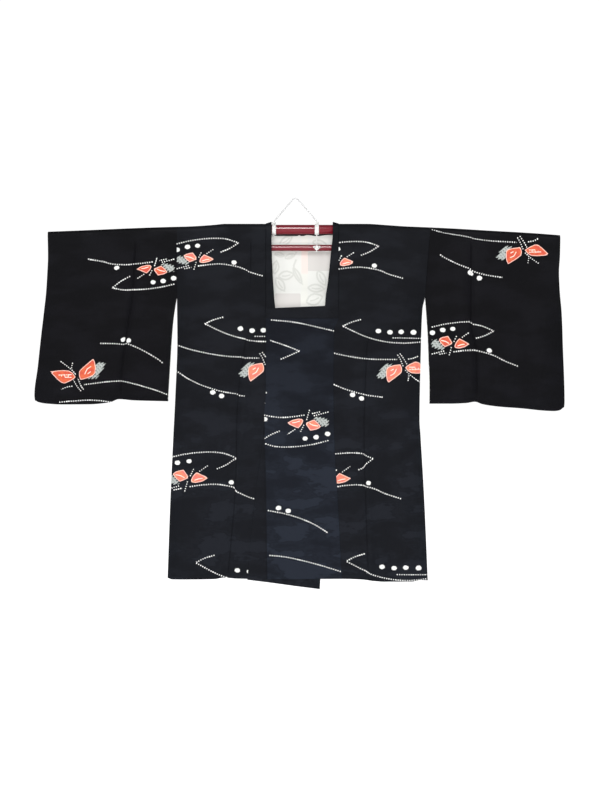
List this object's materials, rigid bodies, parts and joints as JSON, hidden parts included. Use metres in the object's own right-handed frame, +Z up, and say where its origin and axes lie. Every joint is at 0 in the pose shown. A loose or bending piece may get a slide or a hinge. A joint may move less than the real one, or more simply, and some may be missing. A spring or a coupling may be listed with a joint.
{
  "type": "michiyuki coat on a kimono hanger",
  "caption": "Hip-length square-necked Japanese coat with hanging bag sleeves and an overlapped front, spread flat on a telescopic kimono hanger.",
  "frame": {"origin": "the point where the hanger's cord rests on the hook that holds it", "axes": "+Z up, the coat's front faces -Y, the wearer's left is at +X"},
  "size_m": [1.3236, 0.0463, 0.9768],
  "materials": {
    "coat_silk": "figured silk, soft sheen",
    "lining": "smooth printed silk",
    "hanger_tube": "gloss",
    "strap": "woven tape",
    "cord": "braided"
  },
  "bodies": {
    "root": {"body_right": "coat_silk", "body_left": "coat_silk", "sleeve_right": "coat_silk", "sleeve_left": "coat_silk", "tate_eri_over": "coat_silk", "tate_eri_under": "coat_silk", "koeri_right": "coat_silk", "koeri_left": "coat_silk", "back_lining": "lining", "hanger_tube_mid": "hanger_tube", "hanger_tube_right": "hanger_tube", "hanger_tube_left": "hanger_tube", "hanger_lower_bar": "hanger_tube", "hanger_strap_right": "strap", "hanger_strap_left": "strap", "hanger_cord": "cord"}
  },
  "joints": []
}
